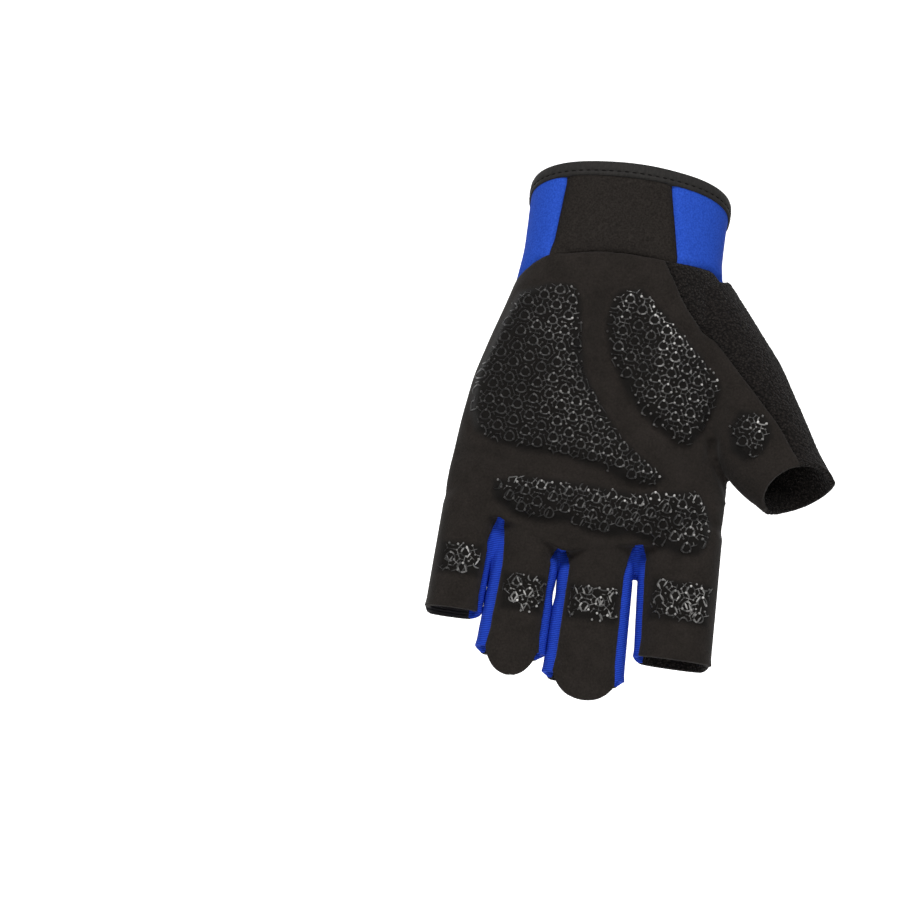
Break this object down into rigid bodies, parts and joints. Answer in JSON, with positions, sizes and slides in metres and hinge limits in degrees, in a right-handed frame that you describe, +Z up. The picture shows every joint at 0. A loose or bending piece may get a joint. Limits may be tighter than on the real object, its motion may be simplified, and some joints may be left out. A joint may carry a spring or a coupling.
{
  "type": "weightlifting glove",
  "caption": "Left-hand short-finger training glove with puffed grip pads on the palm, stretch slots between the fingers and a wrap strap at the wrist.",
  "frame": {"origin": "middle of the wrist hollow at the height of the seam between cuff and palm", "axes": "+Z up the hand to the cuff, the fingers point to -Z, -Y is the palm, +X is the thumb side"},
  "size_m": [0.1293, 0.0552, 0.1806],
  "materials": {
    "suede": "brushed matt microsuede",
    "rib_knit": "matt rib knit",
    "terry": "looped terry, fuzzy",
    "blue_ribbed": "fine cross-ribbed stretch cloth",
    "black_neoprene": "matt cloth-faced neoprene",
    "blue_neoprene": "matt cloth-faced neoprene, fine grain",
    "tape": "ribbed binding tape",
    "strap_cloth": "brushed loop cloth",
    "silicone": "glossy raised net on suede"
  },
  "bodies": {
    "root": {"palm_panel": "suede", "back_panel": "rib_knit", "side_panel": "terry", "fourchette_pinky_ring": "blue_ribbed", "fourchette_ring_middle": "blue_ribbed", "fourchette_middle_index": "blue_ribbed", "cuff_palm_panel": "black_neoprene", "cuff_wrap": "blue_neoprene", "rim_binding": "tape", "slit_binding": "tape", "wrist_strap": "strap_cloth", "pad_hypothenar": "silicone", "pad_thenar": "silicone", "pad_finger_base": "silicone", "pad_thumb": "silicone", "band_pinky": "silicone", "band_ring": "silicone", "band_middle": "silicone", "band_index": "silicone"}
  },
  "joints": []
}
